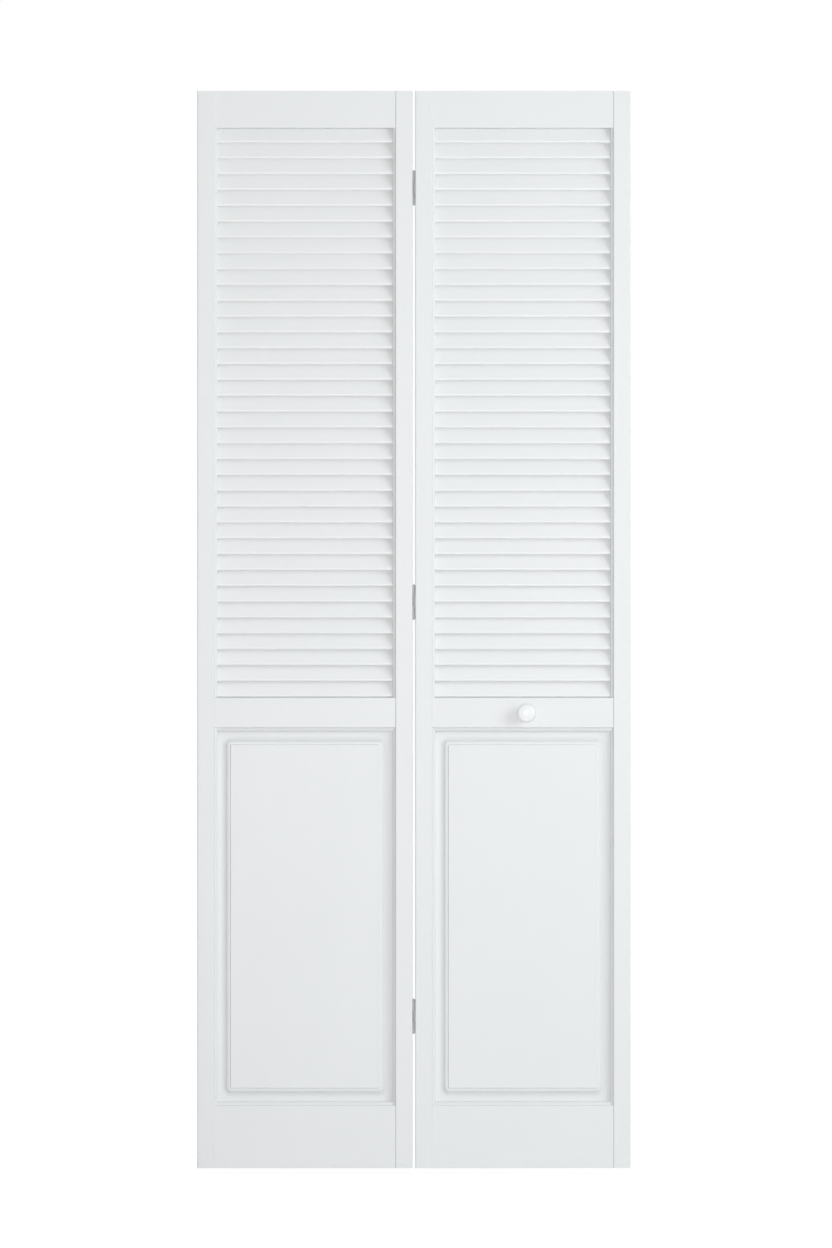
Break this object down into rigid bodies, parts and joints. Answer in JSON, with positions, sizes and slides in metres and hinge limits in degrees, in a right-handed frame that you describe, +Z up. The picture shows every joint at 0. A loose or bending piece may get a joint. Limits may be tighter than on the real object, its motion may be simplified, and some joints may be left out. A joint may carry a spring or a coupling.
{
  "type": "bifold closet door",
  "caption": "White painted bifold closet door: two hinged leaves, each with louvres over a raised panel, with a round knob and bores for pivots and a track guide.",
  "frame": {"origin": "axis of the pivot bores in the pivot leaf's outer stile, at the door's bottom edge and in the middle of its thickness", "axes": "+Z up, +X along the closed door from the pivot side to the free side, and the front, with the knob, faces -Y"},
  "size_m": [0.803, 0.067, 1.997],
  "materials": {
    "painted_pine": "satin",
    "painted_steel": "satin",
    "plain_steel": "satin",
    "knob_paint": "satin"
  },
  "bodies": {
    "pivot_leaf": {"pivot_leaf_outer_stile": "painted_pine", "pivot_leaf_hinge_stile": "painted_pine", "pivot_leaf_top_rail": "painted_pine", "pivot_leaf_lock_rail": "painted_pine", "pivot_leaf_bottom_rail": "painted_pine", "pivot_leaf_louvre_slats": "painted_pine", "pivot_leaf_raised_panel": "painted_pine", "pivot_leaf_hinge_screws": "painted_steel", "bottom_hinge_pivot_plate": "painted_steel", "middle_hinge_pivot_plate": "painted_steel", "top_hinge_pivot_plate": "painted_steel", "bottom_hinge_pin": "plain_steel", "middle_hinge_pin": "plain_steel", "top_hinge_pin": "plain_steel"},
    "lead_leaf": {"lead_leaf_hinge_stile": "painted_pine", "lead_leaf_outer_stile": "painted_pine", "lead_leaf_top_rail": "painted_pine", "lead_leaf_lock_rail": "painted_pine", "lead_leaf_bottom_rail": "painted_pine", "lead_leaf_louvre_slats": "painted_pine", "lead_leaf_raised_panel": "painted_pine", "lead_leaf_hinge_screws": "painted_steel", "bottom_hinge_lead_plate": "painted_steel", "middle_hinge_lead_plate": "painted_steel", "top_hinge_lead_plate": "painted_steel", "knob": "knob_paint", "knob_screw": "plain_steel"}
  },
  "joints": [
    {"name": "leaf_fold", "type": "hinge", "parent": "pivot_leaf", "child": "lead_leaf", "pos_m": [0.3795, 0.0207, 0], "axis": [0, 0, 1], "range_deg": [0, 180]}
  ]
}
